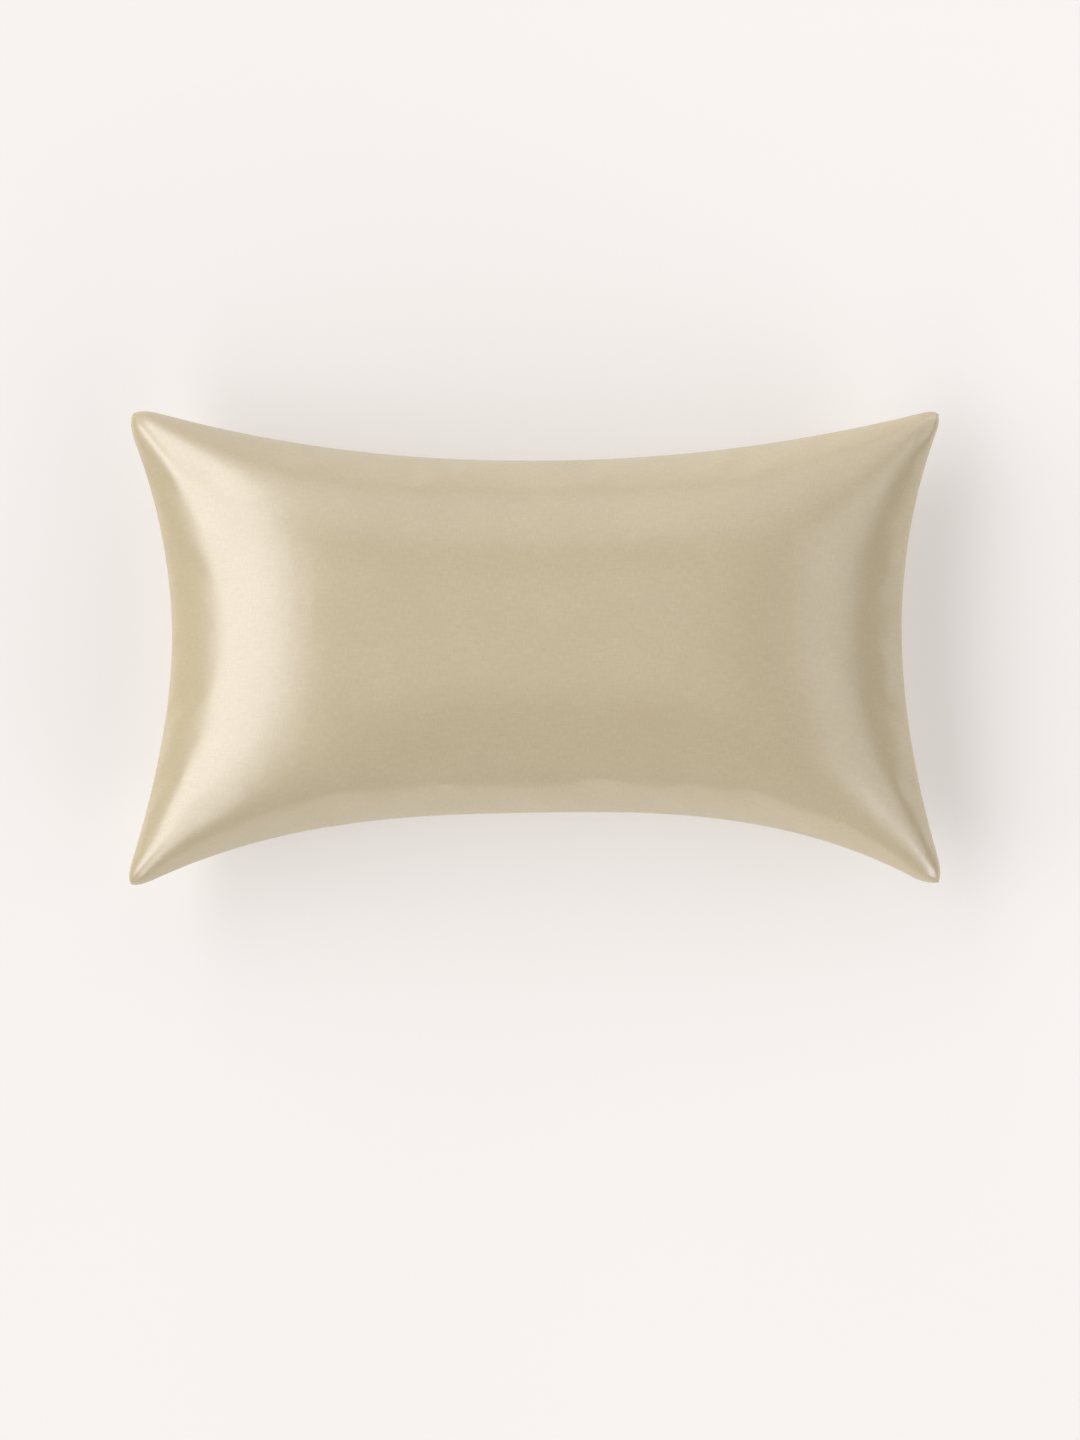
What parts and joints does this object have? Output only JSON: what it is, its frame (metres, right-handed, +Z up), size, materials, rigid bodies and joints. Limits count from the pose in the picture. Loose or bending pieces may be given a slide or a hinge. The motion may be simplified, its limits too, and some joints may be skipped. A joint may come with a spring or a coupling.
{
  "type": "pillowcase",
  "caption": "Satin pillowcase on its pillow: a soft crowned rectangle with drawn-in sides and four soft tips, seamed all round, lying flat on its back.",
  "frame": {"origin": "on the surface, under the middle of the bounding box", "axes": "+X along the pillow's length towards the open end of the case, +Y towards the picture's top edge, +Z up out of the front face"},
  "size_m": [0.776, 0.4528, 0.1801],
  "materials": {
    "satin": "champagne polyester satin, soft bright gloss"
  },
  "bodies": {
    "root": {"pillowcase": "satin"}
  },
  "joints": []
}
